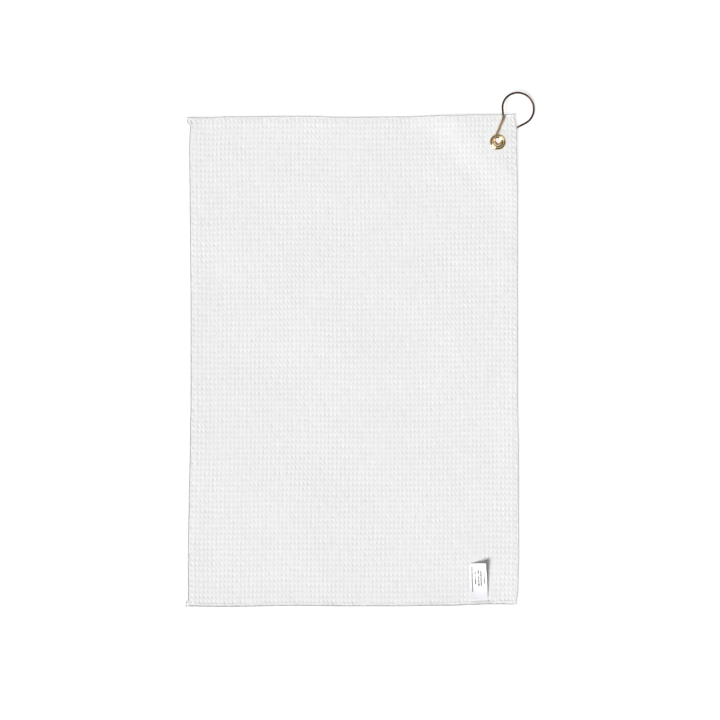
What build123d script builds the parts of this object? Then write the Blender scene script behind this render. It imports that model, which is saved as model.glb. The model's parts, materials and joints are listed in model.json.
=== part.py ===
from build123d import *
import math
import os

# Golf towel: a waffle-weave cloth with serged edges, a brass grommet near one corner, a bent
# wire hook through the grommet, and a satin care label caught in the bottom edge.
# Millimetres. The origin is the middle of the cloth's underside, +Y runs along the towel
# towards the edge with the grommet, and +Z points up out of the towel's face.

# Cloth
TOWEL_WIDTH = 406.4
TOWEL_LENGTH = 609.6
CLOTH_THICKNESS = 2.0
CORNER_RADIUS = 5.0
EDGE_CORE_THICKNESS = 1.0
EDGE_CORE_INSET = 0.7

# The corner with the grommet lies raised, over the washer and the hook's back leg
CORNER_LIFT = 3.0
RAMP_LENGTH = 45.0
RAMP_RADIUS = 300.0
FLAT_BEFORE_GROMMET = 13.0
CORNER_DIRECTION_DEG = 45.0

# Serged edges, sewn with three threads
HEM_WIDTH = 3.0
TAIL_LENGTH = 3.2
TAIL_WIDTH = 5.5
NEEDLE_THREAD_WIDTH = 0.5
NEEDLE_THREAD_HEIGHT = 0.25
NEEDLE_LINE_INSET = 2.6

# Grommet
GROMMET_X = 179.3
GROMMET_Y = 271.4
SHEET_METAL = 0.5
THROAT_RADIUS = 4.75
FLANGE_RADIUS = 10.0
FLANGE_CREST_RADIUS = 6.9
FLANGE_HEIGHT = 1.25
FLANGE_LIP_RADIUS = 9.15
FLANGE_LIP_HEIGHT = 0.4
FLANGE_LIP_EDGE = 0.2
SQUEEZED_CLOTH = 1.2
WASHER_THICKNESS = 0.6
WASHER_RADIUS = 9.6
CLINCH_RADIUS = 6.9
CLINCH_BEND = 0.8

# Hook
WIRE_DIAMETER = 2.5
WIRE_GAP = 0.3
LOOP_RADIUS = 20.0
LOOP_CENTRE = (204.3, 312.5)
FRONT_NECK = (186.0, 301.2)
BACK_NECK = (202.5, 289.2)
# The front leg passes this far left of the hole's middle, and this far past it before it turns
LEG_OFFSET = 5.2
LEG_OVERRUN = 0.2
WIRE_SPLIT = 0.4
LOOP_STEP_DEG = 36.0
LOOP_LAST_TURN_DEG = 26.0
LOOP_DROPS = (0.0, 0.12, 0.37, 0.63, 0.85, 0.98)
LOOP_BEND = 19.0
TURN_BEND = 3.6
NECK_BEND = 5.0

# Care label
LABEL_WIDTH = 21.0
LABEL_LENGTH = 47.5
LABEL_THICKNESS = 0.4
LABEL_CENTRE_X = 157.0
LABEL_LEAN_DEG = 3.0
LABEL_CURL_DEG = 14.0
LABEL_CLEARANCE = 0.35

# How far a cutting shape reaches past what it cuts
CUT_MARGIN = 1.0

HALF_WIDTH = TOWEL_WIDTH / 2
HALF_LENGTH = TOWEL_LENGTH / 2
WIRE_RADIUS = WIRE_DIAMETER / 2


# Cloth layers ------------------------------------------------------------------------------

def lift_line(height):
    """The cloth's level along the corner's diagonal: flat, a soft ramp, and flat again."""
    direction = math.radians(CORNER_DIRECTION_DEG)
    grommet_distance = GROMMET_X * math.cos(direction) + GROMMET_Y * math.sin(direction)
    ramp_end = grommet_distance - FLAT_BEFORE_GROMMET
    reach = TOWEL_LENGTH
    points = [
        (-reach, height),
        (ramp_end - RAMP_LENGTH, height),
        (ramp_end, height + CORNER_LIFT),
        (reach, height + CORNER_LIFT),
    ]
    return FilletPolyline(*points, radius=RAMP_RADIUS)


def cloth_layer(low, high):
    """A sheet between two levels of the cloth, wider than the towel, that follows its lift."""
    bottom = lift_line(low)
    top = lift_line(high)
    ends = [Line(bottom @ 0, top @ 0), Line(bottom @ 1, top @ 1)]
    face = make_face([*bottom.edges(), *top.edges(), *ends])
    across = Plane.XZ.rotated((0, 0, CORNER_DIRECTION_DEG))
    return extrude(across * face, amount=TOWEL_LENGTH, both=True)


def upright(sketch):
    """A prism through the whole height of the towel, with the given outline."""
    height = CLOTH_THICKNESS + CORNER_LIFT + NEEDLE_THREAD_HEIGHT
    return extrude(Pos(0, 0, -CUT_MARGIN) * sketch, amount=height + 2 * CUT_MARGIN)


def towel_outline(inset=0.0):
    """The towel seen from above: square corners on the left, rounded corners on the right."""
    outline = Rectangle(TOWEL_WIDTH - 2 * inset, TOWEL_LENGTH - 2 * inset)
    right_corners = outline.vertices().group_by(Axis.X)[-1]
    return fillet(right_corners, CORNER_RADIUS - inset)


def edge_strip(edge, outer, inner):
    """A band along one edge, between two insets from the outline."""
    width = inner - outer
    middle = (inner + outer) / 2
    if edge in ("top", "bottom"):
        side = 1 if edge == "top" else -1
        return Pos(0, side * (HALF_LENGTH - middle)) * Rectangle(TOWEL_WIDTH, width)
    side = 1 if edge == "right" else -1
    height = TOWEL_LENGTH - 2 * HEM_WIDTH
    return Pos(side * (HALF_WIDTH - middle), 0) * Rectangle(width, height)


def thread_tail(edge):
    """The rounded end of a serged run, which stands out past the towel's left edge."""
    side = 1 if edge == "top" else -1
    length = TAIL_LENGTH + CORNER_RADIUS
    tail = fillet(Rectangle(length, TAIL_WIDTH).vertices().group_by(Axis.X)[0], TAIL_LENGTH / 2)
    centre_x = -HALF_WIDTH - TAIL_LENGTH + length / 2
    return Pos(centre_x, side * (HALF_LENGTH - TAIL_WIDTH / 2)) * tail


# Cloth and serged edges --------------------------------------------------------------------

def upright_cylinder(radius, height):
    return extrude(Circle(radius), amount=height)


def grommet_seat():
    """What the grommet takes out of the cloth: its hole and two squeezed rings."""
    low = CORNER_LIFT - CUT_MARGIN
    high = CORNER_LIFT + CLOTH_THICKNESS + CUT_MARGIN
    squeezed_low = washer_top()
    squeezed_high = squeezed_low + SQUEEZED_CLOTH
    hole = Pos(0, 0, low) * upright_cylinder(THROAT_RADIUS + SHEET_METAL, high - low)
    under = Pos(0, 0, low) * upright_cylinder(FLANGE_RADIUS, squeezed_low - low)
    over = Pos(0, 0, squeezed_high) * upright_cylinder(FLANGE_RADIUS, high - squeezed_high)
    return Pos(GROMMET_X, GROMMET_Y, 0) * (hole + under + over)


def towel_cloth():
    """The waffle panel, with a thin rim that the edge threads are wrapped round."""
    field = cloth_layer(0, CLOTH_THICKNESS) & upright(towel_outline(HEM_WIDTH))
    rim = core_layer() & upright(towel_outline(EDGE_CORE_INSET))
    return field + rim - grommet_seat()


def core_layer():
    margin = (CLOTH_THICKNESS - EDGE_CORE_THICKNESS) / 2
    return cloth_layer(margin, CLOTH_THICKNESS - margin)


def looper_thread(edge, upper):
    """One of the two threads that cover an edge: the upper on the face, the lower behind it."""
    half = CLOTH_THICKNESS / 2
    layer = cloth_layer(half, CLOTH_THICKNESS) if upper else cloth_layer(0, half)
    band = layer & upright(edge_strip(edge, 0, HEM_WIDTH) & towel_outline())
    if edge in ("top", "bottom"):
        tail = layer & upright(thread_tail(edge) - towel_outline())
        band = band + tail
    return band - (core_layer() & upright(towel_outline(EDGE_CORE_INSET)))


def needle_thread(edge):
    """The line of stitches that holds a serged edge down, along its inner side."""
    outer = NEEDLE_LINE_INSET - NEEDLE_THREAD_WIDTH / 2
    inner = NEEDLE_LINE_INSET + NEEDLE_THREAD_WIDTH / 2
    layer = cloth_layer(CLOTH_THICKNESS, CLOTH_THICKNESS + NEEDLE_THREAD_HEIGHT)
    return layer & upright(edge_strip(edge, outer, inner) & towel_outline())


# Grommet -----------------------------------------------------------------------------------

def washer_bottom():
    """The clinched lip rests just over the hook's wire, and the washer rests on the lip."""
    return WIRE_DIAMETER + WIRE_GAP + SHEET_METAL


def washer_top():
    return washer_bottom() + WASHER_THICKNESS


def grommet_eyelet():
    """Domed flange with a flat lip, and a barrel that is clinched outwards at the back."""
    barrel = THROAT_RADIUS + SHEET_METAL
    seat = washer_top() + SQUEEZED_CLOTH
    crest = seat + FLANGE_HEIGHT
    lip_top = seat + FLANGE_LIP_HEIGHT
    clinch_low = washer_bottom() - SHEET_METAL
    clinch_high = washer_bottom()
    outside = [
        Line((CLINCH_RADIUS, clinch_low), (THROAT_RADIUS + CLINCH_BEND, clinch_low)),
        RadiusArc(
            (THROAT_RADIUS + CLINCH_BEND, clinch_low),
            (THROAT_RADIUS, clinch_low + CLINCH_BEND),
            CLINCH_BEND,
        ),
        Line((THROAT_RADIUS, clinch_low + CLINCH_BEND), (THROAT_RADIUS, seat)),
        ThreePointArc(
            (THROAT_RADIUS, seat),
            (FLANGE_CREST_RADIUS, crest),
            (FLANGE_LIP_RADIUS, lip_top),
        ),
        Line((FLANGE_LIP_RADIUS, lip_top), (FLANGE_RADIUS - FLANGE_LIP_EDGE, lip_top)),
        ThreePointArc(
            (FLANGE_RADIUS - FLANGE_LIP_EDGE, lip_top),
            (FLANGE_RADIUS, (seat + lip_top) / 2),
            (FLANGE_RADIUS - FLANGE_LIP_EDGE, seat),
        ),
        Line((FLANGE_RADIUS - FLANGE_LIP_EDGE, seat), (FLANGE_LIP_RADIUS - SHEET_METAL / 2, seat)),
        ThreePointArc(
            (FLANGE_LIP_RADIUS - SHEET_METAL / 2, seat),
            (FLANGE_CREST_RADIUS, crest - SHEET_METAL),
            (barrel, seat),
        ),
        Line((barrel, seat), (barrel, clinch_high)),
        Line((barrel, clinch_high), (CLINCH_RADIUS, clinch_high)),
        Line((CLINCH_RADIUS, clinch_high), (CLINCH_RADIUS, clinch_low)),
    ]
    section = Plane.XZ * make_face(outside)
    return Pos(GROMMET_X, GROMMET_Y, 0) * revolve(section, Axis.Z)


def grommet_washer():
    ring = Circle(WASHER_RADIUS) - Circle(THROAT_RADIUS + SHEET_METAL)
    return Pos(GROMMET_X, GROMMET_Y, washer_bottom()) * extrude(ring, amount=WASHER_THICKNESS)


# Hook --------------------------------------------------------------------------------------

def front_wire_level():
    """The front leg's centre line passes just over the flange."""
    crest = washer_top() + SQUEEZED_CLOTH + FLANGE_HEIGHT
    return crest + WIRE_GAP + WIRE_RADIUS


def around(centre, radius, angle_deg, level):
    angle = math.radians(angle_deg)
    return (centre[0] + radius * math.cos(angle), centre[1] + radius * math.sin(angle), level)


def tangent_angle(centre, radius, point, side):
    """Where the line from a point touches a circle, as an angle about the circle's centre."""
    away = math.hypot(point[0] - centre[0], point[1] - centre[1])
    bearing = math.atan2(point[1] - centre[1], point[0] - centre[0])
    return math.degrees(bearing + side * math.acos(radius / away))


def turn_corners(high, low):
    """The route's two corners at the grommet, from the front leg down to the back leg."""
    hole = (GROMMET_X, GROMMET_Y)
    leg = tangent_angle(hole, LEG_OFFSET, FRONT_NECK, 1)
    past = math.degrees(math.atan(LEG_OVERRUN / LEG_OFFSET))
    upper = around(hole, math.hypot(LEG_OFFSET, LEG_OVERRUN), leg + past, high)

    radius = THROAT_RADIUS - WIRE_RADIUS - WIRE_GAP
    enter = tangent_angle(hole, radius, FRONT_NECK, 1)
    leave = tangent_angle(hole, radius, BACK_NECK, -1) + 360
    quarter = (leave - enter) / 4
    lower = around(hole, radius / math.cos(math.radians(quarter)), leave - quarter, low)
    return upper, lower


def loop_corners(high, low):
    """The loop as tangents to its circle. It comes down from the cloth's face to its back."""
    levels = [high - drop * (high - low) for drop in LOOP_DROPS]
    radius = LOOP_RADIUS / math.cos(math.radians(LOOP_STEP_DEG / 2))
    corners = []
    for index, level in enumerate(levels):
        corners.append(around(LOOP_CENTRE, radius, 180 - LOOP_STEP_DEG * (index + 0.5), level))
    last_radius = LOOP_RADIUS / math.cos(math.radians(LOOP_LAST_TURN_DEG / 2))
    last_angle = 180 - LOOP_STEP_DEG * len(levels) - LOOP_LAST_TURN_DEG / 2
    corners.append(around(LOOP_CENTRE, last_radius, last_angle, low))
    return corners


def hook_wire():
    """One wire: through the grommet, over the face, round the loop, and back underneath."""
    high = front_wire_level()
    low = WIRE_RADIUS
    upper, lower = turn_corners(high, low)
    loop = loop_corners(high, low)
    back_neck = Vector(*BACK_NECK, low)
    along = (back_neck - Vector(*lower)).normalized()
    split = (back_neck + Vector(*lower)) / 2
    start = split - along * (WIRE_SPLIT / 2)
    end = split + along * (WIRE_SPLIT / 2)

    corners = [lower, upper, (*FRONT_NECK, high), *loop, back_neck]
    bends = [TURN_BEND, TURN_BEND, NECK_BEND] + [LOOP_BEND] * len(loop) + [LOOP_BEND]
    route = FilletPolyline(start, *corners, end, radius=bends)
    return sweep(Plane(start, z_dir=along * -1) * Circle(WIRE_RADIUS), path=route)


# Care label --------------------------------------------------------------------------------

def label_places():
    """The label's fold line, beside the bottom edge and just over the cloth."""
    level = CLOTH_THICKNESS + LABEL_CLEARANCE + LABEL_THICKNESS / 2
    return Pos(LABEL_CENTRE_X, -HALF_LENGTH + HEM_WIDTH + LABEL_CLEARANCE, level)


def care_label():
    """A strip of satin that leaves its fold line flat and curls up towards its free end."""
    half = LABEL_THICKNESS / 2
    radius = LABEL_LENGTH / math.radians(LABEL_CURL_DEG)
    under = JernArc((0, -half), (1, 0), radius + half, LABEL_CURL_DEG)
    over = JernArc((0, half), (1, 0), radius - half, LABEL_CURL_DEG)
    fold = ThreePointArc((0, half), (-half, 0), (0, -half))
    section = Plane.YZ * make_face([under, over, fold, Line(under @ 1, over @ 1)])
    strip = extrude(section, amount=LABEL_WIDTH / 2, both=True)
    return label_places() * Rot(0, 0, LABEL_LEAN_DEG) * strip


def label_sewn_end():
    """The label's other end, which the bottom edge's threads hold down on the cloth's rim."""
    depth = HEM_WIDTH - EDGE_CORE_INSET
    top_of_rim = (CLOTH_THICKNESS + EDGE_CORE_THICKNESS) / 2
    middle_y = -HALF_LENGTH + HEM_WIDTH - depth / 2
    end = Box(LABEL_WIDTH, depth, LABEL_THICKNESS)
    return Pos(LABEL_CENTRE_X, middle_y, top_of_rim + LABEL_THICKNESS / 2) * end


# Export ------------------------------------------------------------------------------------

def all_parts():
    parts = {
        "towel_cloth": towel_cloth(),
        "grommet_eyelet": grommet_eyelet(),
        "grommet_washer": grommet_washer(),
        "hook_wire": hook_wire(),
        "care_label": care_label(),
        "care_label_sewn_end": label_sewn_end(),
    }
    for edge in ("top", "bottom", "left", "right"):
        parts[f"{edge}_upper_looper_thread"] = looper_thread(edge, upper=True)
        parts[f"{edge}_lower_looper_thread"] = looper_thread(edge, upper=False)
        parts[f"{edge}_needle_thread"] = needle_thread(edge)
    parts["bottom_upper_looper_thread"] -= parts["care_label_sewn_end"]
    return parts


os.makedirs("parts", exist_ok=True)
for name, part in all_parts().items():
    export_step(part, f"parts/{name}.step")
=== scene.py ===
"""The looks of a golf towel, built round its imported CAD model. Lengths are in millimetres until
an object is made, and places come from the model's own boxes and joints."""

import json
import math

import bpy
import numpy as np
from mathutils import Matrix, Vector


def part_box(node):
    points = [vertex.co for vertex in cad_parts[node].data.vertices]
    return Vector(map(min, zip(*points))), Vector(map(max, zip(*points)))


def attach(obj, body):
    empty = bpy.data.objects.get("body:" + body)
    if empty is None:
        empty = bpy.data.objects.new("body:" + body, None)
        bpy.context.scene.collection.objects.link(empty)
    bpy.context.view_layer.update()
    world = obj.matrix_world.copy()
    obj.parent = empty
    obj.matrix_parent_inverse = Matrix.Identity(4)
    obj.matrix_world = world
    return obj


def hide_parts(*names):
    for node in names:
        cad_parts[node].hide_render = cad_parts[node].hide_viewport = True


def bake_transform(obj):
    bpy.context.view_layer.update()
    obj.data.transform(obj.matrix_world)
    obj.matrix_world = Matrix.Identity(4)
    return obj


METRE = 1000.0

# Camera: straight above the towel, as far away as a long lens needs
VIEW_WIDTH = 897.6
VIEW_CENTRE_X = 7.8
LENS_MM = 100.0
SENSOR_MM = 36.0
CAMERA_SIGHT_M = 20

# Light and floor. The bands are heights (sine of the elevation) between which the walls fade out
# and the ceiling fades in.
WALL_BAND = (0.16, 0.22)
CEILING_BAND = (0.88, 0.97)
WALL_LIGHT = 0.85
DIM_LIGHT = 0.0025
CEILING_LIGHT = 0.7
FLOOR_WHITE = (0.40, 0.40, 0.40)
FLOOR_GLOW = 0.7
FLOOR_HALF_M = 6.0
FLOOR_Z_M = -0.0002

# Weave: a waffle of raised ridges round sunk pits, the same on both sides. The pit's shape is a
# lozenge that reaches PIT_REACH of a cell from its middle, PIT_SHOULDER of the depth down.
CLOTH_SEED = 5
CELLS_ACROSS = 79
CELLS_ALONG = 91
PIT_DEPTH = 0.8
PIT_REACH = 0.31
PIT_SHOULDER = 0.55
RIDGE_JITTER = 0.25
CREST_JITTER = 0.07
DEPTH_JITTER = 0.2
DEPTH_LIMITS = (0.6, 1.4)
HALF_CELL_DEPTH = 0.45

# Edge: the cloth's rim is pressed thin, and the threads are wrapped round it
RIM_THICKNESS = 1.0
RIM_INSET = 0.55
RIM_ROUNDING = 0.15
RIM_STEP = 1.6
# How far outwards from the woven field the rim has begun to thin, by this share, and is thin
RIM_START, RIM_START_SHARE, RIM_THIN = 0.2, 0.35, 1.0

# Threads: flattened tubes, looper stitches round the edge and needle stitches along the hem. The
# looper's sizes are half its width and half its thickness.
THREAD_SEED = 11
TUBE_SIDES = 6
STITCH = 1.5
STITCH_JITTER = 0.10
LOOPER_WIDE = 0.38
LOOPER_TALL = 0.17
LOWER_LOOPER_SHIFT = 0.2
LOOPER_END_GAP = 0.3
LOOPER_MIDDLE = 0.69
LEAN_LIMIT = 1.05
NEEDLE_RADIUS = 0.17
NEEDLE_INSET = {"top": 2.75, "bottom": 4.3, "left": 2.75, "right": 2.75}
# Needle stitch: share of the stitch, height over the cloth's middle
NEEDLE_SHAPE = ((0.0, 0.35), (0.14, 1.0), (0.5, 1.1), (0.86, 1.0))
# How far the top and bottom seams run out past the towel's left corners
TAIL = 1.0
# How much painted shade greys the turned edge of each side (less on the sides away from the key
# light, which are shaded already), and how far inwards the painted shade is full and then fades
EDGE_SHADE = {"left": 1.0, "bottom": 1.0, "right": 0.30, "top": 0.30}
SHADE_FULL = 0.8
SHADE_FADE = 0.66

# The raised corner, as in the CAD model, and the cloth that the grommet presses together
RAMP_LENGTH = 45.0
FLAT_BEFORE_GROMMET = 13.0
SQUEEZED_THICKNESS = 1.2
SQUEEZE_MARGIN = 0.6
SQUEEZE_FADE = 5
SQUEEZE_GAP = 0.05
HOLE_IN_CLOTH = 6.3
METAL_SHARP_DEG = 35

# Label: a strip that curls up with one side higher (the twist) and a low wave across it. Its
# sewn-in end is pressed down into the hem, whose threads rise to cross it.
LABEL_LENGTH = 45.0
LABEL_WIDTH = 21.2
LABEL_STEPS = (24, 72)
LABEL_SHIFT = (-0.5, 4.0)
LABEL_CURL_DEG = 14.0
LABEL_THICKNESS = 0.22
LABEL_SEWN_IN = 5.0
LABEL_TWIST = 8.8
LABEL_LIFT = 4.6
LABEL_RISE_POWER = 1.4
LABEL_PRESSED = 0.35
LABEL_PRESSED_SHARE = 0.25
LABEL_WAVE = 0.35
LABEL_WAVE_TURN = 2.2
LABEL_WAVE_START = 0.6
LABEL_WAVE_FADE = 0.4
LABEL_SINK_RATE = 1.5
LABEL_SEWN_HEIGHT = 0.78
LABEL_SEWN_THINNING = 0.5
LABEL_SHARP_DEG = 50
CROSSING_RISE = 0.3
CROSSING_FADE = 1.5
CROSSING_REACH = 6

# Waves in the laid cloth as (seed, how many, shortest, longest), how high they are or how far they
# move the cloth, and how far from the edge they change
BROAD_WAVES, BROAD_HEIGHT = (3, 7, 90, 230), 1.1
RUFFLE_WAVES, RUFFLE_HEIGHT, RUFFLE_REACH = (8, 5, 30, 70), 0.9, 30
DRIFT_WAVES_X, DRIFT_WAVES_Y, DRIFT, DRIFT_REACH = (21, 6, 60, 160), (22, 6, 60, 160), 1.6, 40
# Round the label's root the cloth lies flat, and fades into its waves
FLAT_RADIUS, FLAT_FADE = 20, 50

# How far each edge wanders outwards from a straight line: (place along the edge, distance)
LEFT_WANDER = ((-305, 3.6), (-237, 3.7), (-175, 2.6), (-112, 1.3), (-50, 0.2), (75, 0.2),
               (200, 1.4), (262, 1.9), (305, 1))
RIGHT_WANDER = ((-305, 1.6), (-281, 2), (-237, 2.7), (-112, 2.5), (-50, 1.4), (200, 1.3),
                (262, 0.3), (305, 0.2))
TOP_WANDER = ((-203, -2), (-173, -2.2), (-160, -1.1), (-67, -0.6), (-5, -1.9), (58, -1.3),
              (120, 0.4), (157, 1.1), (186, 1.2), (203, 1.3))
BOTTOM_WANDER = ((-203, 2.4), (-167, 3), (-67, 1.8), (0, 2.3), (58, 2.3), (120, 1.6), (145, 0.8),
                 (165, -0.1), (203, -0.1))
# What the side edges add close to the corners, where the hem was sewn past its end or drawn in
LEFT_CORNERS = ((-305, 1.7), (-303.5, 2.3), (-298.8, 2.4), (-297.5, 0.3), (-296.5, 0),
                (286, 0), (291, -0.4), (294.8, 0.2), (296, 1.9), (297.5, 3.0), (300.5, 3.3),
                (303, 3.2), (305, 2.4))
RIGHT_CORNERS = ((-305, -2.0), (-299, -1.7), (-295, -0.7), (-288, 0), (281, 0), (287, 0.1),
                 (293, -1.1), (297, -2.2), (301, -3.0), (306, -2.0))
CORNER_REACH = 16.0

# Colours
CLOTH_WHITE = (0.812, 0.810, 0.811)
CLOTH_SHADED = (0.777, 0.777, 0.781)
THREAD_WHITE = (0.965, 0.965, 0.965)
# Painted shade on the threads where they turn round the edge
EDGE_PAINTED_SHADE = (0.16, 0.16, 0.162)
LABEL_WHITE = (0.94, 0.945, 0.965)
# Painted shade on the label's lower part and on its end under the hem threads
LABEL_PAINTED_SHADE = (0.775, 0.768, 0.82)
LABEL_HIDDEN_PAINTED_SHADE = (0.77, 0.768, 0.79)
# Shares of the label's length between which the white turns into the painted shade, and that into
# the darker painted shade of the end under the threads
LABEL_PAINTED_SHADE_BAND = (0.42, 0.15)
LABEL_HIDDEN_SHADE_BAND = (0.02, 0.0)
# The satin's ribs along the label, its warp threads across it, and where its selvedge begins
LABEL_RIBS = 110
LABEL_WARPS = 60
SELVEDGE_BAND = (0.455, 0.47)
BRASS = (0.90, 0.75, 0.44)
BRASS_DULL = (0.74, 0.57, 0.27)
BRONZE = (0.12, 0.062, 0.042)
BRONZE_DARK = (0.055, 0.03, 0.022)
# Lighter gold used both for rubbed patches of wear and for a painted reflection on the leg near the
# grommet
BRONZE_RUBBED_AND_REFLECTION = (0.72, 0.52, 0.30)
BRONZE_SHEEN = (0.48, 0.36, 0.29, 1)
# Distances from the grommet, in metres, between which the wire's painted reflection fades to its
# dark plating
PAINTED_REFLECTION_BAND = (0.026, 0.036)
# Rows of plain marks on the label: place across it, half height, first and last place along it
PRINT_GREY = (0.10, 0.10, 0.11)
PRINT_ROWS = ((0.13, 0.034, 0.20, 0.91), (0.32, 0.040, 0.41, 0.77), (0.51, 0.046, 0.36, 0.81),
              (0.66, 0.046, 0.36, 0.79), (0.85, 0.036, 0.41, 0.74))
PRINT_PITCH = 95.0
PRINT_ROW_STEP = 7.3
PRINT_CUT = 0.41

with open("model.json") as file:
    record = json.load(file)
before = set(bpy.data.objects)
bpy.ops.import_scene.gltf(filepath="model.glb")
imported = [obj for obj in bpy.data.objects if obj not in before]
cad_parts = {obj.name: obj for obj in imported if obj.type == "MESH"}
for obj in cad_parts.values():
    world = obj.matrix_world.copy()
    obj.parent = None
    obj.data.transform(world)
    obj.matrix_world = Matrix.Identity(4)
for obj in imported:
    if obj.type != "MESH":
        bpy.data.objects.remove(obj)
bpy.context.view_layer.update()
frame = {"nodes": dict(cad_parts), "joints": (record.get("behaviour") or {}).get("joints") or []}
joints = {joint["name"]: joint for joint in frame["joints"]}


def box_mm(node):
    """A CAD node's lowest and highest corners, in millimetres."""
    low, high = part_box(node)
    return np.array(low) * METRE, np.array(high) * METRE


LEFT = box_mm("left_upper_looper_thread")[0][0]
RIGHT = box_mm("right_upper_looper_thread")[1][0]
TOP = box_mm("top_upper_looper_thread")[1][1]
BOTTOM = box_mm("bottom_upper_looper_thread")[0][1]
THICKNESS = box_mm("left_upper_looper_thread")[1][2]
HEM = box_mm("left_upper_looper_thread")[1][0] - LEFT
CORNER_LIFT = box_mm("towel_cloth")[1][2] - THICKNESS
GROMMET_LOW, GROMMET_HIGH = box_mm("grommet_eyelet")
GROMMET = (GROMMET_LOW + GROMMET_HIGH) / 2
FLANGE_RADIUS = (GROMMET_HIGH[0] - GROMMET_LOW[0]) / 2
WASHER_TOP = box_mm("grommet_washer")[1][2]
SQUEEZED_TOP = WASHER_TOP + SQUEEZED_THICKNESS
LABEL_ROOT = np.array(joints["label_flip"]["pos_m"]) * METRE
LABEL_AXIS = np.array(joints["label_flip"]["axis"], float)


# Shape of the laid cloth -------------------------------------------------------------------

def smooth(t):
    """Eases from 0 to 1 and is flat at both ends."""
    t = np.clip(t, 0, 1)
    return t * t * (3 - 2 * t)


def wander(place, knots):
    """Smooth steps between an edge's knots."""
    places = np.array([knot[0] for knot in knots], float)
    offsets = np.array([knot[1] for knot in knots], float)
    index = np.clip(np.searchsorted(places, place) - 1, 0, len(knots) - 2)
    share = smooth((place - places[index]) / (places[index + 1] - places[index]))
    return offsets[index] + (offsets[index + 1] - offsets[index]) * share


def corner_pull(side, x, y):
    """How far a side edge stands out near its two corners, fading into the cloth."""
    edge, knots = (LEFT, LEFT_CORNERS) if side == "left" else (RIGHT, RIGHT_CORNERS)
    return wander(y, knots) * (1 - smooth(np.abs(x - edge) / CORNER_REACH))


def ripples(x, y, seed, count, shortest, longest):
    """Low waves in random directions, from 0 to 1."""
    random = np.random.default_rng(seed)
    height = np.zeros_like(x)
    for _ in range(count):
        angle, phase = random.uniform(0, math.tau, 2)
        length = random.uniform(shortest, longest)
        height += np.sin((x * math.cos(angle) + y * math.sin(angle)) * math.tau / length + phase)
    return 0.5 + 0.5 * height / count


def raised(x, y):
    """0 on the flat cloth and 1 on the corner that the hook's back leg lies under."""
    across = (x - GROMMET[0] + y - GROMMET[1]) / math.sqrt(2)
    return smooth((across + FLAT_BEFORE_GROMMET + RAMP_LENGTH) / RAMP_LENGTH)


def from_edge(x, y):
    """The distance inwards from the nearest side of the flat towel."""
    return np.minimum(np.minimum(x - LEFT, RIGHT - x), np.minimum(y - BOTTOM, TOP - y))


def level(x, y):
    """The height of the cloth's underside."""
    near_edge = 1 - smooth(from_edge(x, y) / RUFFLE_REACH)
    from_label = np.hypot(x - LABEL_ROOT[0], y - LABEL_ROOT[1])
    moving = (1 - raised(x, y)) * smooth((from_label - FLAT_RADIUS) / FLAT_FADE)
    broad = BROAD_HEIGHT * ripples(x, y, *BROAD_WAVES)
    ruffle = RUFFLE_HEIGHT * ripples(x, y, *RUFFLE_WAVES) * near_edge
    return CORNER_LIFT * raised(x, y) + moving * (broad + ruffle)


def place(x, y, z):
    """A point of the ideal flat towel, z above its underside, moved to where it really lies."""
    x, y, z = np.broadcast_arrays(*(np.asarray(value, float) for value in (x, y, z)))
    across = (x - LEFT) / (RIGHT - LEFT)
    along = (y - BOTTOM) / (TOP - BOTTOM)
    left_out = wander(y, LEFT_WANDER) * (1 - across) + corner_pull("left", x, y)
    right_out = wander(y, RIGHT_WANDER) * across + corner_pull("right", x, y)
    top_out = wander(x, TOP_WANDER) * along
    bottom_out = wander(x, BOTTOM_WANDER) * (1 - along)
    inner = smooth(from_edge(x, y) / DRIFT_REACH)
    drift_x = DRIFT * (ripples(x, y, *DRIFT_WAVES_X) - 0.5) * inner
    drift_y = DRIFT * (ripples(x, y, *DRIFT_WAVES_Y) - 0.5) * inner
    moved_x = x - left_out + right_out + drift_x
    moved_y = y + top_out - bottom_out + drift_y
    return np.stack([moved_x, moved_y, z + level(moved_x, moved_y)], axis=-1)


def squeeze(points, top_side):
    """The grommet's flange and washer press the cloth together round its hole."""
    distance = np.hypot(points[..., 0] - GROMMET[0], points[..., 1] - GROMMET[1])
    pressed = 1 - smooth((distance - FLANGE_RADIUS - SQUEEZE_MARGIN) / SQUEEZE_FADE)
    target = SQUEEZED_TOP - SQUEEZE_GAP if top_side else WASHER_TOP + SQUEEZE_GAP
    points[..., 2] += (target - points[..., 2]) * pressed
    return points


# Meshes ------------------------------------------------------------------------------------

def make_mesh(name, points, faces, material):
    """A smooth-shaded object from points in millimetres."""
    mesh = bpy.data.meshes.new(name)
    mesh.from_pydata((np.asarray(points) / METRE).tolist(), [], faces)
    mesh.shade_smooth()
    mesh.materials.append(material)
    piece = bpy.data.objects.new(name, mesh)
    bpy.context.scene.collection.objects.link(piece)
    return piece


def zip_rows(first, second, first_at, second_at, flip):
    """Triangles between two rows of points with different spacings."""
    faces, i, j = [], 0, 0
    while i < len(first) - 1 or j < len(second) - 1:
        step_first = j == len(second) - 1 or (
            i < len(first) - 1 and first_at[i + 1] <= second_at[j + 1]
        )
        if step_first:
            face = (first[i], first[i + 1], second[j])
            i += 1
        else:
            face = (first[i], second[j + 1], second[j])
            j += 1
        faces.append(face[::-1] if flip else face)
    return faces


# Cloth -------------------------------------------------------------------------------------

def side_row(inset, count):
    """Evenly spaced points round a rectangle inside the towel's outline, side by side."""
    low_x, high_x, low_y, high_y = LEFT + inset, RIGHT - inset, BOTTOM + inset, TOP - inset
    corners = [(low_x, low_y), (high_x, low_y), (high_x, high_y), (low_x, high_y)]
    row = []
    for index, start in enumerate(corners):
        end = corners[(index + 1) % 4]
        steps = count[index % 2]
        for step in range(steps):
            share = step / steps
            row.append([a + (b - a) * share for a, b in zip(start, end)])
    return np.array(row)


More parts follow.
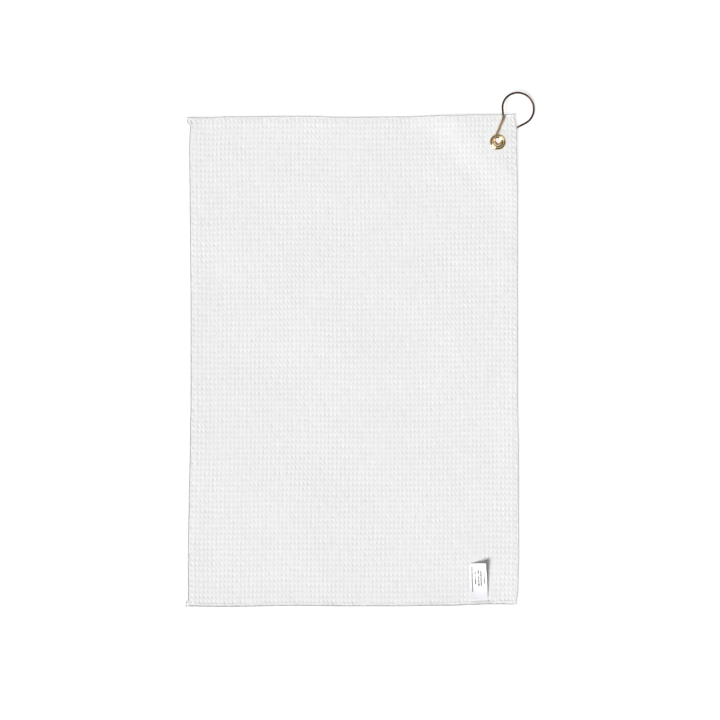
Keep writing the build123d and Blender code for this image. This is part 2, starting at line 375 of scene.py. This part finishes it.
def grid_lines(low, high, cells, top_side):
    """Where the ridges lie: the back's ridges pass under the middle of the front's pits."""
    pitch = (high - low) / cells
    if top_side:
        return low + pitch * np.arange(cells + 1)
    return np.concatenate([[low], low + pitch * (np.arange(cells) + 0.5), [high]])


def blend_corners(values, a, b):
    """Each cell's value at the share a across it and b along it."""
    low = values[:-1, :-1] * (1 - a) + values[:-1, 1:] * a
    high = values[1:, :-1] * (1 - a) + values[1:, 1:] * a
    return low * (1 - b) + high * b


def lattice(top_side, random):
    """One side of the waffle: ridge crossings, and a lozenge of five points in each pit."""
    xs = grid_lines(LEFT + HEM, RIGHT - HEM, CELLS_ACROSS, top_side)
    ys = grid_lines(BOTTOM + HEM, TOP - HEM, CELLS_ALONG, top_side)
    x, y = np.meshgrid(xs, ys)
    inner = np.zeros_like(x)
    inner[1:-1, 1:-1] = 1
    x = x + random.normal(0, RIDGE_JITTER, x.shape) * inner
    y = y + random.normal(0, RIDGE_JITTER, x.shape) * inner
    open_cells, rim = cut_hole(x, y)
    face, inwards = (THICKNESS, -1) if top_side else (0.0, 1)
    crest = face + inwards * np.abs(random.normal(0, CREST_JITTER, x.shape)) * inner
    ridges = squeeze(place(x, y, crest), top_side)

    deep = PIT_DEPTH * (1 + random.normal(0, DEPTH_JITTER, (len(ys) - 1, len(xs) - 1)))
    deep = np.clip(deep, *(limit * PIT_DEPTH for limit in DEPTH_LIMITS))
    half_cell = np.ones_like(deep)
    if not top_side:
        half_cell[0], half_cell[-1], half_cell[:, 0], half_cell[:, -1] = (HALF_CELL_DEPTH,) * 4
    pits = []
    for u, v, share in ((0, -PIT_REACH, PIT_SHOULDER), (PIT_REACH, 0, PIT_SHOULDER),
                        (0, PIT_REACH, PIT_SHOULDER), (-PIT_REACH, 0, PIT_SHOULDER), (0, 0, 1)):
        pit_x, pit_y = blend_corners(x, 0.5 + u, 0.5 + v), blend_corners(y, 0.5 + u, 0.5 + v)
        sunk = face + inwards * deep * half_cell * share
        pits.append(squeeze(place(pit_x, pit_y, sunk), top_side))
    return ridges, np.stack(pits, axis=2), open_cells, rim


def cut_hole(x, y):
    """Leaves out the cells round the barrel and draws the ridges next to them to a circle.

    It returns which cells are left out, and the circle's points as (angle, index), in order.
    """
    moved = place(GROMMET[0], GROMMET[1], 0.0)
    centre_x, centre_y = 2 * GROMMET[0] - moved[0], 2 * GROMMET[1] - moved[1]
    middle_x, middle_y = blend_corners(x, 0.5, 0.5), blend_corners(y, 0.5, 0.5)
    open_cells = np.hypot(middle_x - centre_x, middle_y - centre_y) < HOLE_IN_CLOTH
    beside_open, beside_kept = np.zeros(x.shape, bool), np.zeros(x.shape, bool)
    for cells, beside in ((open_cells, beside_open), (~open_cells, beside_kept)):
        for down, across in ((0, 0), (0, 1), (1, 0), (1, 1)):
            rows, columns = cells.shape
            beside[down:down + rows, across:across + columns] |= cells
    rim = []
    for j, i in np.argwhere(beside_open & beside_kept):
        angle = math.atan2(y[j, i] - centre_y, x[j, i] - centre_x)
        x[j, i] = centre_x + HOLE_IN_CLOTH * math.cos(angle)
        y[j, i] = centre_y + HOLE_IN_CLOTH * math.sin(angle)
        rim.append((angle, int(j * x.shape[1] + i)))
    return open_cells, sorted(rim)


def lattice_faces(ridges, open_cells, first_ridge, first_pit, flip):
    """Twelve triangles in each cell: corners, sides and the bottom of the pit."""
    faces = []
    rows, wide = ridges.shape[0] - 1, ridges.shape[1]
    for j in range(rows):
        for i in range(wide - 1):
            if open_cells[j, i]:
                continue
            corner = first_ridge + j * wide + i
            outer = (corner, corner + 1, corner + wide + 1, corner + wide)
            base = first_pit + 5 * (j * (wide - 1) + i)
            cell = []
            for side in range(4):
                before, after = base + (side - 1) % 4, (side + 1) % 4
                cell.append((outer[side], outer[after], base + side))
                cell.append((outer[side], base + side, before))
                cell.append((base + side, base + after, base + 4))
            faces += [face[::-1] for face in cell] if flip else cell
    return faces


def border(ridges, first_ridge):
    """The lattice's outer ridge crossings, in order round the field."""
    high, wide = ridges.shape[0] - 1, ridges.shape[1]
    bottom = [first_ridge + i for i in range(wide - 1)]
    right = [first_ridge + j * wide + wide - 1 for j in range(high)]
    top = [first_ridge + high * wide + i for i in range(wide - 1, 0, -1)]
    left = [first_ridge + j * wide for j in range(high, 0, -1)]
    return [bottom, right, top, left]


def cloth(material):
    """The waffle field on both sides and the thin rim under the edge threads, as one skin."""
    random = np.random.default_rng(CLOTH_SEED)
    front_ridges, front_pits, front_open, front_rim = lattice(True, random)
    back_ridges, back_pits, back_open, back_rim = lattice(False, random)
    points = [block.reshape(-1, 3) for block in (front_ridges, front_pits, back_ridges, back_pits)]
    starts = np.cumsum([0] + [len(block) for block in points])
    faces = lattice_faces(front_ridges, front_open, starts[0], starts[1], flip=False)
    faces += lattice_faces(back_ridges, back_open, starts[2], starts[3], flip=True)
    faces += hole_wall(front_rim, starts[0], back_rim, starts[2])

    steps = (round((RIGHT - LEFT) / RIM_STEP), round((TOP - BOTTOM) / RIM_STEP))
    margin = (THICKNESS - RIM_THICKNESS) / 2
    half_profile = [(HEM - RIM_START, margin * RIM_START_SHARE), (HEM - RIM_THIN, margin),
                    (RIM_INSET + RIM_ROUNDING, margin)]
    profile = [(inset, THICKNESS - height) for inset, height in half_profile]
    profile += [(RIM_INSET, THICKNESS / 2)] + half_profile[::-1]
    rows = []
    for inset, height in profile:
        row = side_row(inset, steps)
        rows.append(starts[-1] + sum(len(block) for block in points[4:]) + np.arange(len(row)))
        points.append(place(row[:, 0], row[:, 1], height))
    for upper, lower in zip(rows, rows[1:]):
        for a in range(len(upper)):
            b = (a + 1) % len(upper)
            faces.append((upper[a], lower[a], lower[b], upper[b]))
    faces += join_border(border(front_ridges, starts[0]), rows[0], steps, flip=True)
    faces += join_border(border(back_ridges, starts[2]), rows[-1], steps, flip=False)
    return make_mesh("waffle_cloth", *without_spares(np.concatenate(points), faces), material)


def hole_wall(front_rim, front_start, back_rim, back_start):
    """The inside of the hole in the cloth, between the two sides' circles."""
    rows = []
    for rim, start in ((front_rim, front_start), (back_rim, back_start)):
        closed = rim + [(rim[0][0] + math.tau, rim[0][1])]
        rows.append(([start + index for _, index in closed], [angle for angle, _ in closed]))
    (front, front_at), (back, back_at) = rows
    return zip_rows(front, back, front_at, back_at, flip=False)


def without_spares(points, faces):
    """Drops the points that no face uses."""
    used = np.unique([index for face in faces for index in face])
    renumbered = np.full(len(points), -1)
    renumbered[used] = np.arange(len(used))
    return points[used], [tuple(int(renumbered[index]) for index in face) for face in faces]


def join_border(sides, row, steps, flip):
    """Ties the field's coarse border to the rim's finer row."""
    faces, offset = [], 0
    for index, side in enumerate(sides):
        coarse = side + [sides[(index + 1) % 4][0]]
        count = steps[index % 2]
        fine = [row[(offset + step) % len(row)] for step in range(count + 1)]
        offset += count
        coarse_at, fine_at = np.linspace(0, 1, len(coarse)), np.linspace(0, 1, len(fine))
        faces += zip_rows(coarse, fine, coarse_at, fine_at, flip)
    return faces


# Threads -----------------------------------------------------------------------------------

SIDES = {
    # start of the run, direction along the edge, direction inwards from it, length
    "top": (np.array((LEFT, TOP)), np.array((1.0, 0.0)), np.array((0.0, -1.0)), RIGHT - LEFT),
    "bottom": (np.array((LEFT, BOTTOM)), np.array((1.0, 0.0)), np.array((0.0, 1.0)), RIGHT - LEFT),
    "left": (np.array((LEFT, BOTTOM)), np.array((0.0, 1.0)), np.array((1.0, 0.0)), TOP - BOTTOM),
    "right": (np.array((RIGHT, BOTTOM)), np.array((0.0, 1.0)), np.array((-1.0, 0.0)), TOP - BOTTOM),
}


def over_label(x, y):
    """How much the hem's threads rise to cross the label's sewn end."""
    aside = np.abs(x - LABEL_ROOT[0]) - LABEL_WIDTH / 2
    near = 1 - smooth(aside / CROSSING_FADE)
    return CROSSING_RISE * near * (y < LABEL_ROOT[1] + CROSSING_REACH)


def run_points(side, along, inset, height):
    """Points of a thread: distances along the edge and inwards from it, and heights."""
    start, forward, inward, _ = SIDES[side]
    x = start[0] + forward[0] * along + inward[0] * inset
    y = start[1] + forward[1] * along + inward[1] * inset
    extra = np.where(height > THICKNESS / 2, over_label(x, y), 0)
    return place(x, y, height + extra)


def ribbon_tube(path, facing, half_width, half_height):
    """A closed, flattened tube along a path that lies on a surface facing the given way."""
    tangent = np.gradient(path, axis=0)
    tangent /= np.linalg.norm(tangent, axis=1)[:, None]
    facing = facing - tangent * (facing * tangent).sum(1)[:, None]
    facing /= np.linalg.norm(facing, axis=1)[:, None]
    sideways = np.cross(tangent, facing)
    angles = (np.arange(TUBE_SIDES) + 0.5) * math.tau / TUBE_SIDES
    rings = (
        path[:, None, :]
        + half_width * np.cos(angles)[None, :, None] * sideways[:, None, :]
        + half_height * np.sin(angles)[None, :, None] * facing[:, None, :]
    )
    faces = []
    for ring in range(len(path) - 1):
        for index in range(TUBE_SIDES):
            after = (index + 1) % TUBE_SIDES
            low, high = ring * TUBE_SIDES, (ring + 1) * TUBE_SIDES
            faces.append((low + index, high + index, high + after, low + after))
    last = (len(path) - 1) * TUBE_SIDES
    faces.append(tuple(range(TUBE_SIDES)))
    faces.append(tuple(range(last, last + TUBE_SIDES))[::-1])
    return rings.reshape(-1, 3), faces


def looper(side, upper, random):
    """The looper thread on one face of the hem: from the needle line to the edge and back."""
    length = SIDES[side][3]
    overrun = 0.0 if side in ("left", "right") else TAIL
    count = round((length + overrun) / STITCH)
    reach = NEEDLE_INSET[side]
    middle = reach * LOOPER_MIDDLE
    # share of the stitch, inset, height over the cloth's middle, lean of the surface outwards:
    # along the needle line, out to the edge and round it, and back
    shape = ((-0.13, reach, 0.82, 0.0), (0.13, reach, 0.82, 0.0), (0.24, middle, 0.88, 0.0),
             (0.262, 1.2, 0.85, 0.1), (0.27, 0.8, 0.80, 0.25), (0.37, 0.3, 0.20, 0.95),
             (0.63, 0.3, 0.20, 0.95), (0.73, 0.8, 0.80, 0.25), (0.738, 1.2, 0.85, 0.1),
             (0.76, middle, 0.88, 0.0))
    on_needle_line, near_edge = 0.13, 1
    along, inset, height, lean = [], [], [], []
    for stitch in range(count):
        stray, wide = random.normal(0, STITCH_JITTER), random.normal(0, STITCH_JITTER)
        for share, distance, rise, out in shape:
            strayed = stray * (share > on_needle_line)
            along.append((stitch + share) * STITCH + strayed - overrun)
            inset.append(distance + wide * (distance > near_edge))
            height.append(rise)
            lean.append(out)
    along, inset, height, lean = (np.array(v) for v in (along, inset, height, lean))
    sign = 1 if upper else -1
    along = along + (0 if upper else LOWER_LOOPER_SHIFT)
    along = np.clip(along, -overrun, length - LOOPER_END_GAP)
    path = run_points(side, along, inset, THICKNESS / 2 + sign * height)
    # Painted shade on the turned edge, full at the very edge and fading inwards
    painted_shade = EDGE_SHADE[side] * (1 - smooth((inset - SHADE_FULL) / SHADE_FADE))
    shade = np.repeat(painted_shade, TUBE_SIDES)
    inward = SIDES[side][2]
    upright = sign * (LEAN_LIMIT - lean)
    facing = np.stack([-inward[0] * lean, -inward[1] * lean, upright], axis=1)
    return *ribbon_tube(path, facing, LOOPER_WIDE, LOOPER_TALL), shade


def needle(side):
    """The needle thread: a straight row of stitches that dips into the cloth between them."""
    length = SIDES[side][3]
    count = round((length - 2 * HEM) / STITCH)
    along = np.array([HEM + (stitch + share) * STITCH
                      for stitch in range(count) for share, _ in NEEDLE_SHAPE])
    height = np.array([rise for _ in range(count) for _, rise in NEEDLE_SHAPE])
    inset = np.full_like(along, NEEDLE_INSET[side])
    path = run_points(side, along, inset, THICKNESS / 2 + height)
    facing = np.tile((0.0, 0.0, 1.0), (len(path), 1))
    points, faces = ribbon_tube(path, facing, NEEDLE_RADIUS, NEEDLE_RADIUS)
    return points, faces, np.zeros(len(points))


def sew_edges(material):
    """Three threads along each edge of the cloth."""
    random = np.random.default_rng(THREAD_SEED)
    threads = []
    for side in SIDES:
        for kind, (points, faces, shade) in (
            ("upper_looper", looper(side, True, random)),
            ("lower_looper", looper(side, False, random)),
            ("needle", needle(side)),
        ):
            piece = make_mesh(f"{side}_{kind}_stitches", points, faces, material)
            layer = piece.data.attributes.new("edge_shade", "FLOAT", "POINT")
            layer.data.foreach_set("value", shade.astype(np.float32))
            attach(piece, "towel")
            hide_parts(f"{side}_{kind}_thread")
            threads.append(piece)
    return threads


# Label -------------------------------------------------------------------------------------

def label(material):
    """A satin strip sewn into the bottom hem, curling up off the cloth with one corner higher."""
    across_steps, along_steps = LABEL_STEPS
    lean_x, lean_y = -LABEL_AXIS[1], LABEL_AXIS[0]
    radius = LABEL_LENGTH / math.radians(LABEL_CURL_DEG)
    wide = np.linspace(-0.5, 0.5, across_steps + 1)
    lengths = np.linspace(-LABEL_SEWN_IN, LABEL_LENGTH, along_steps + 1)
    w, s = np.meshgrid(wide, lengths)
    free = np.clip(s, 0, None)
    out = np.where(s > 0, radius * np.sin(free / radius), s)
    share = free / LABEL_LENGTH
    rise = LABEL_LIFT * share**LABEL_RISE_POWER
    pressed = 1 - smooth(share / LABEL_PRESSED_SHARE)
    rise = rise + LABEL_TWIST * w * share - LABEL_PRESSED * pressed
    wave = np.sin(w * math.pi * LABEL_WAVE_TURN + LABEL_WAVE_START)
    rise = rise + LABEL_WAVE * wave * share * (1 - LABEL_WAVE_FADE * share)
    sunk = smooth(-s / LABEL_SEWN_IN * LABEL_SINK_RATE)
    seen = w * np.sqrt(LABEL_WIDTH**2 - (LABEL_TWIST * share) ** 2)
    x = LABEL_ROOT[0] + LABEL_SHIFT[0] + lean_x * out + LABEL_AXIS[0] * seen
    y = LABEL_ROOT[1] + LABEL_SHIFT[1] + lean_y * out + LABEL_AXIS[1] * seen
    sewn_z = THICKNESS * LABEL_SEWN_HEIGHT
    z = LABEL_ROOT[2] + rise - sunk * (LABEL_ROOT[2] - LABEL_PRESSED - sewn_z)
    middle = np.stack([x, y, z], axis=-1)
    half = LABEL_THICKNESS / 2 * (1 - LABEL_SEWN_THINNING * sunk)
    top, under = middle.copy(), middle.copy()
    top[..., 2] += half
    under[..., 2] -= half
    points = np.concatenate([top.reshape(-1, 3), under.reshape(-1, 3)])
    columns, count = across_steps + 1, (across_steps + 1) * (along_steps + 1)
    faces = []
    for j in range(along_steps):
        for i in range(across_steps):
            a = j * columns + i
            cell = (a, a + 1, a + columns + 1, a + columns)
            faces.append(cell)
            faces.append(tuple(count + index for index in cell)[::-1])
    rim = list(range(across_steps))
    rim += [j * columns + across_steps for j in range(along_steps)]
    rim += [along_steps * columns + i for i in range(across_steps, 0, -1)]
    rim += [j * columns for j in range(along_steps, 0, -1)]
    for index, a in enumerate(rim):
        b = rim[(index + 1) % len(rim)]
        faces.append((a, count + a, count + b, b))
    piece = make_mesh("care_label_satin", points, faces, material)
    flat_uv = np.stack([(w + 0.5).ravel(), (s / LABEL_LENGTH).ravel()], axis=1)
    flat_uv = np.concatenate([flat_uv, flat_uv])
    layer = piece.data.uv_layers.new(name="label")
    indices = np.array([loop.vertex_index for loop in piece.data.loops])
    layer.data.foreach_set("uv", flat_uv[indices].astype(np.float32).ravel())
    piece.data.set_sharp_from_angle(angle=math.radians(LABEL_SHARP_DEG))
    return piece


# Materials ---------------------------------------------------------------------------------

def material(name, colour, roughness, **inputs):
    """A material whose shader's own sockets hold what is the same all over."""
    made = bpy.data.materials.new(name)
    made.use_nodes = True
    shader = made.node_tree.nodes["Principled BSDF"]
    shader.inputs["Base Color"].default_value = (*colour, 1)
    shader.inputs["Roughness"].default_value = roughness
    for key, value in inputs.items():
        shader.inputs[key.replace("_", " ")].default_value = value
    return made, made.node_tree, shader


def add_node(tree, kind, inputs=(), **settings):
    """A shader node with its settings and input values or links."""
    made = tree.nodes.new(kind)
    for key, value in settings.items():
        setattr(made, key, value)
    for key, value in dict(inputs).items():
        if isinstance(value, bpy.types.NodeSocket):
            tree.links.new(value, made.inputs[key])
        else:
            made.inputs[key].default_value = value
    return made


def noise(tree, vector, scale, detail):
    """Cloudy noise from 0 to 1: a larger scale makes smaller clouds."""
    return add_node(tree, "ShaderNodeTexNoise", {
        "Vector": vector, "Scale": scale, "Detail": detail,
    }).outputs["Fac"]


def stretched(tree, vector, degrees, scale):
    """The vector turned about Z and scaled differently along its axes, for streaks."""
    return add_node(tree, "ShaderNodeMapping", {
        "Vector": vector, "Rotation": (0, 0, math.radians(degrees)), "Scale": scale,
    }).outputs[0]


def bands(tree, vector, direction, scale, **inputs):
    """Parallel wavy bands, for threads and twists."""
    inputs = {key.replace("_", " "): value for key, value in inputs.items()}
    return add_node(tree, "ShaderNodeTexWave", {"Vector": vector, "Scale": scale, **inputs},
                    bands_direction=direction).outputs["Fac"]


def ramp(tree, value, low, high, to_low=0.0, to_high=1.0):
    """The value moved from one range to another, and held at its ends."""
    return add_node(tree, "ShaderNodeMapRange", {
        "Value": value, "From Min": low, "From Max": high, "To Min": to_low, "To Max": to_high,
    }).outputs["Result"]


def mix(tree, share, first, second):
    """The first colour where the share is 0, and the second where it is 1."""
    made = add_node(tree, "ShaderNodeMix", data_type="RGBA")
    colour_a, colour_b = [s for s in made.inputs if s.type == "RGBA"]
    for socket, value in ((made.inputs[0], share), (colour_a, first), (colour_b, second)):
        if isinstance(value, bpy.types.NodeSocket):
            tree.links.new(value, socket)
        else:
            socket.default_value = value if isinstance(value, float) else (*value, 1)
    return [s for s in made.outputs if s.type == "RGBA"][0]


def maths(tree, operation, *values):
    """A calculation with sockets or plain numbers."""
    made = add_node(tree, "ShaderNodeMath", operation=operation)
    for socket, value in zip(made.inputs, values):
        if isinstance(value, bpy.types.NodeSocket):
            tree.links.new(value, socket)
        else:
            socket.default_value = value
    return made.outputs[0]


def total(tree, *values):
    """The sum of two or more values."""
    result = values[0]
    for value in values[1:]:
        result = maths(tree, "ADD", result, value)
    return result


def scaled(tree, value, factor):
    """The value times a factor."""
    return maths(tree, "MULTIPLY", value, factor)


def off_from(tree, value, centre):
    """The distance between a value and a centre."""
    return maths(tree, "ABSOLUTE", maths(tree, "SUBTRACT", value, centre))


def darker(colour, share):
    """The colour with each channel times this share."""
    return tuple(share * channel for channel in colour)


def bump(tree, shader, height, strength, distance):
    """Fine relief: the distance is in metres."""
    made = add_node(tree, "ShaderNodeBump", {
        "Height": height, "Strength": strength, "Distance": distance,
    })
    tree.links.new(made.outputs["Normal"], shader.inputs["Normal"])


def object_place(tree):
    """Where the shaded point is on its piece, in metres."""
    return add_node(tree, "ShaderNodeTexCoord").outputs["Object"]


def cloth_material():
    """Matt white yarn: fine threads, a little fluff, faint patches and slanting streaks."""
    made, tree, shader = material("waffle_weave", CLOTH_WHITE, 0.92, Sheen_Weight=0.12,
                                  Sheen_Roughness=0.6, Specular_IOR_Level=0.25)
    at = object_place(tree)
    streaks = noise(tree, stretched(tree, at, degrees=35, scale=(260, 45, 1)),
                    scale=1.0, detail=2.0)
    patches = noise(tree, at, scale=14.0, detail=3.0)
    fluff = noise(tree, at, scale=2600.0, detail=2.0)
    shade = total(tree, scaled(tree, streaks, 0.6), scaled(tree, patches, 0.4))
    colour = mix(tree, ramp(tree, shade, 0.35, 0.65), CLOTH_SHADED, CLOTH_WHITE)
    tree.links.new(colour, shader.inputs["Base Color"])
    warp = bands(tree, at, "X", scale=330.0, Distortion=1.2, Detail_Scale=2.0)
    weft = bands(tree, at, "Y", scale=300.0, Distortion=1.2, Detail_Scale=2.0)
    yarn = total(tree, maths(tree, "MAXIMUM", warp, weft), fluff)
    bump(tree, shader, yarn, strength=0.35, distance=0.0002)
    return made


def thread_material():
    """Soft white polyester thread with a fine twist, with painted shade where it turns round the
    edge.
    """
    made, tree, shader = material("edge_thread", THREAD_WHITE, 0.62, Sheen_Weight=0.2,
                                  Sheen_Roughness=0.4, Specular_IOR_Level=0.4)
    at = object_place(tree)
    tint = noise(tree, at, scale=90.0, detail=2.0)
    white = mix(tree, ramp(tree, tint, 0.3, 0.7), darker(THREAD_WHITE, 0.97), THREAD_WHITE)
    # Painted shade on the turned edge, read from each point of the thread
    shaded = add_node(tree, "ShaderNodeAttribute", attribute_name="edge_shade").outputs["Fac"]
    tree.links.new(mix(tree, shaded, white, EDGE_PAINTED_SHADE), shader.inputs["Base Color"])
    twist = bands(tree, at, "DIAGONAL", scale=900.0, Distortion=2.0)
    bump(tree, shader, twist, strength=0.3, distance=0.0001)
    return made


def print_marks(tree, across, along):
    """Rows of plain dashes along the label, 1 where there is ink. They spell nothing."""
    marks = 0.0
    for number, (centre, half, first, last) in enumerate(PRINT_ROWS):
        at = add_node(tree, "ShaderNodeCombineXYZ", {
            "X": scaled(tree, along, PRINT_PITCH), "Y": PRINT_ROW_STEP * number,
        }).outputs[0]
        dashes = noise(tree, at, scale=1.0, detail=1.0)
        row = maths(tree, "LESS_THAN", off_from(tree, across, centre), half)
        reach = maths(tree, "MULTIPLY", maths(tree, "GREATER_THAN", along, first),
                      maths(tree, "LESS_THAN", along, last))
        inked = maths(tree, "MULTIPLY", maths(tree, "GREATER_THAN", dashes, PRINT_CUT), reach)
        marks = total(tree, marks, maths(tree, "MULTIPLY", row, inked))
    return marks


def label_material():
    """White satin ribbon: fine cross ribs, woven selvedges and rows of plain grey marks.

    Its lower part is greyer with painted shade, as in the photo, and the end that goes under the
    threads has darker painted shade.
    """
    made, tree, shader = material("label_satin", LABEL_WHITE, 0.42, Sheen_Weight=0.15,
                                  Sheen_Roughness=0.3, Specular_IOR_Level=0.45, Anisotropic=0.4)
    at = add_node(tree, "ShaderNodeUVMap", uv_map="label").outputs[0]
    parts = add_node(tree, "ShaderNodeSeparateXYZ", {"Vector": at})
    across, along = parts.outputs["X"], parts.outputs["Y"]
    ribs = maths(tree, "SINE", scaled(tree, along, math.tau * LABEL_RIBS))
    warp = maths(tree, "SINE", scaled(tree, across, math.tau * LABEL_WARPS))
    selvedge = ramp(tree, off_from(tree, across, 0.5), *SELVEDGE_BAND)
    marks = print_marks(tree, across, along)
    patches = ramp(tree, noise(tree, object_place(tree), scale=120.0, detail=2.0), 0.3, 0.7)
    white = mix(tree, patches, darker(LABEL_WHITE, 0.965), LABEL_WHITE)
    # Painted shade on the lower part, then darker painted shade on the end under the threads
    shaded_label = mix(tree, ramp(tree, along, *LABEL_PAINTED_SHADE_BAND), white, LABEL_PAINTED_SHADE)
    shaded_label = mix(tree, ramp(tree, along, *LABEL_HIDDEN_SHADE_BAND), shaded_label, LABEL_HIDDEN_PAINTED_SHADE)
    tree.links.new(mix(tree, marks, shaded_label, PRINT_GREY), shader.inputs["Base Color"])
    relief = total(tree, scaled(tree, ribs, 0.5), scaled(tree, warp, 0.25),
                   scaled(tree, selvedge, 1.5))
    bump(tree, shader, relief, strength=0.25, distance=0.0001)
    return made


def brass_material():
    """Bright, lightly worn brass with polishing marks and dull patches."""
    made, tree, shader = material("grommet_brass", BRASS, 0.24, Metallic=1.0)
    at = object_place(tree)
    patches = noise(tree, at, scale=260.0, detail=4.0)
    scratches = noise(tree, stretched(tree, at, degrees=24, scale=(3000, 260, 800)),
                      scale=1.0, detail=2.0)
    colour = mix(tree, ramp(tree, patches, 0.35, 0.62), BRASS_DULL, BRASS)
    tree.links.new(colour, shader.inputs["Base Color"])
    wear = total(tree, ramp(tree, patches, 0.3, 0.7, 0.17, 0.07), scaled(tree, scratches, 0.10))
    tree.links.new(wear, shader.inputs["Roughness"])
    bump(tree, shader, total(tree, scratches, patches), strength=0.12, distance=0.0001)
    return made


def bronze_material():
    """Antique bronze wire: dark brown plating with rubbed patches, and a painted reflection of
    lighter gold near the grommet.
    """
    made, tree, shader = material("hook_bronze", BRONZE, 0.34, Metallic=1.0,
                                  Specular_Tint=BRONZE_SHEEN)
    at = object_place(tree)
    away = add_node(tree, "ShaderNodeVectorMath", {
        0: at, 1: tuple(GROMMET / METRE),
    }, operation="DISTANCE").outputs["Value"]
    patches = noise(tree, at, scale=420.0, detail=4.0)
    scratches = noise(tree, at, scale=2400.0, detail=3.0)
    # Painted reflection that fades with distance from the grommet, plus random rubbed patches of
    # wear
    rubbed_and_reflection = total(tree, ramp(tree, away, *PAINTED_REFLECTION_BAND, 1.0, 0.0),
                   ramp(tree, patches, 0.56, 0.72, 0.0, 0.35))
    speckled = mix(tree, ramp(tree, scratches, 0.4, 0.7), BRONZE, BRONZE_DARK)
    colour = mix(tree, maths(tree, "MINIMUM", rubbed_and_reflection, 1.0), speckled, BRONZE_RUBBED_AND_REFLECTION)
    tree.links.new(colour, shader.inputs["Base Color"])
    tree.links.new(ramp(tree, patches, 0.3, 0.7, 0.42, 0.27), shader.inputs["Roughness"])
    bump(tree, shader, scratches, strength=0.15, distance=0.0001)
    return made


# Scene -------------------------------------------------------------------------------------

def add_camera():
    """Looks straight down on the towel with +Y up in the picture."""
    data = bpy.data.cameras.new("camera")
    data.lens, data.sensor_width = LENS_MM, SENSOR_MM
    data.clip_end = CAMERA_SIGHT_M
    camera = bpy.data.objects.new("camera", data)
    height = VIEW_WIDTH / METRE * LENS_MM / SENSOR_MM
    camera.location = (VIEW_CENTRE_X / METRE, 0, height)
    bpy.context.scene.collection.objects.link(camera)
    bpy.context.scene.camera = camera


def add_sun(name, azimuth, elevation, strength, angle):
    """A soft distant lamp that stands in the given direction, with its angles in degrees."""
    data = bpy.data.lights.new(name, "SUN")
    data.energy, data.angle = strength, math.radians(angle)
    lamp = bpy.data.objects.new(name, data)
    a, e = math.radians(azimuth), math.radians(elevation)
    towards = Vector((math.cos(a) * math.cos(e), math.sin(a) * math.cos(e), math.sin(e)))
    lamp.rotation_mode = "QUATERNION"
    lamp.rotation_quaternion = towards.to_track_quat("Z", "Y")
    bpy.context.scene.collection.objects.link(lamp)


def add_world():
    """A studio with pale walls low down, a dim band above them and bright light overhead."""
    world = bpy.data.worlds.new("studio")
    world.use_nodes = True
    tree = world.node_tree
    up = add_node(tree, "ShaderNodeSeparateXYZ", {
        "Vector": add_node(tree, "ShaderNodeTexCoord").outputs["Generated"],
    }).outputs["Z"]
    walls = ramp(tree, up, *WALL_BAND, WALL_LIGHT, DIM_LIGHT)
    ceiling = ramp(tree, up, *CEILING_BAND, 0.0, CEILING_LIGHT - DIM_LIGHT)
    light = maths(tree, "ADD", walls, ceiling)
    tree.links.new(light, tree.nodes["Background"].inputs["Strength"])
    tree.nodes["Background"].inputs["Color"].default_value = (1, 1, 1, 1)
    bpy.context.scene.world = world


def add_floor():
    """A partly luminous white floor, so that it comes out as white with little shadow."""
    corners = [(x * FLOOR_HALF_M, y * FLOOR_HALF_M, FLOOR_Z_M)
               for x, y in ((-1, -1), (1, -1), (1, 1), (-1, 1))]
    mesh = bpy.data.meshes.new("floor")
    mesh.from_pydata(corners, [], [(0, 1, 2, 3)])
    made, tree, shader = material("floor", FLOOR_WHITE, 0.9, Specular_IOR_Level=0.1,
                                  Emission_Color=(1, 1, 1, 1), Emission_Strength=FLOOR_GLOW)
    tint = ramp(tree, noise(tree, object_place(tree), scale=3.0, detail=2.0), 0.3, 0.7)
    tree.links.new(mix(tree, tint, darker(FLOOR_WHITE, 0.99), FLOOR_WHITE),
                   shader.inputs["Base Color"])
    mesh.materials.append(made)
    floor = bpy.data.objects.new("floor", mesh)
    bpy.context.scene.collection.objects.link(floor)


bpy.context.scene.view_settings.view_transform = "Standard"
add_camera()
add_world()
add_sun("key", azimuth=225, elevation=46, strength=3.75, angle=25)
add_sun("fill", azimuth=45, elevation=52, strength=0.4, angle=30)
add_floor()

threads = sew_edges(thread_material())
waffle = cloth(cloth_material())
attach(waffle, "towel")
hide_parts("towel_cloth")

satin = label(label_material())
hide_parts("care_label", "care_label_sewn_end")
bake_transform(satin)

brass, bronze = brass_material(), bronze_material()
for node, finish in (("grommet_eyelet", brass), ("grommet_washer", brass), ("hook_wire", bronze)):
    piece = frame["nodes"][node]
    piece.data.materials.clear()
    piece.data.materials.append(finish)
    piece.data.shade_smooth()
    piece.data.set_sharp_from_angle(angle=math.radians(METAL_SHARP_DEG))
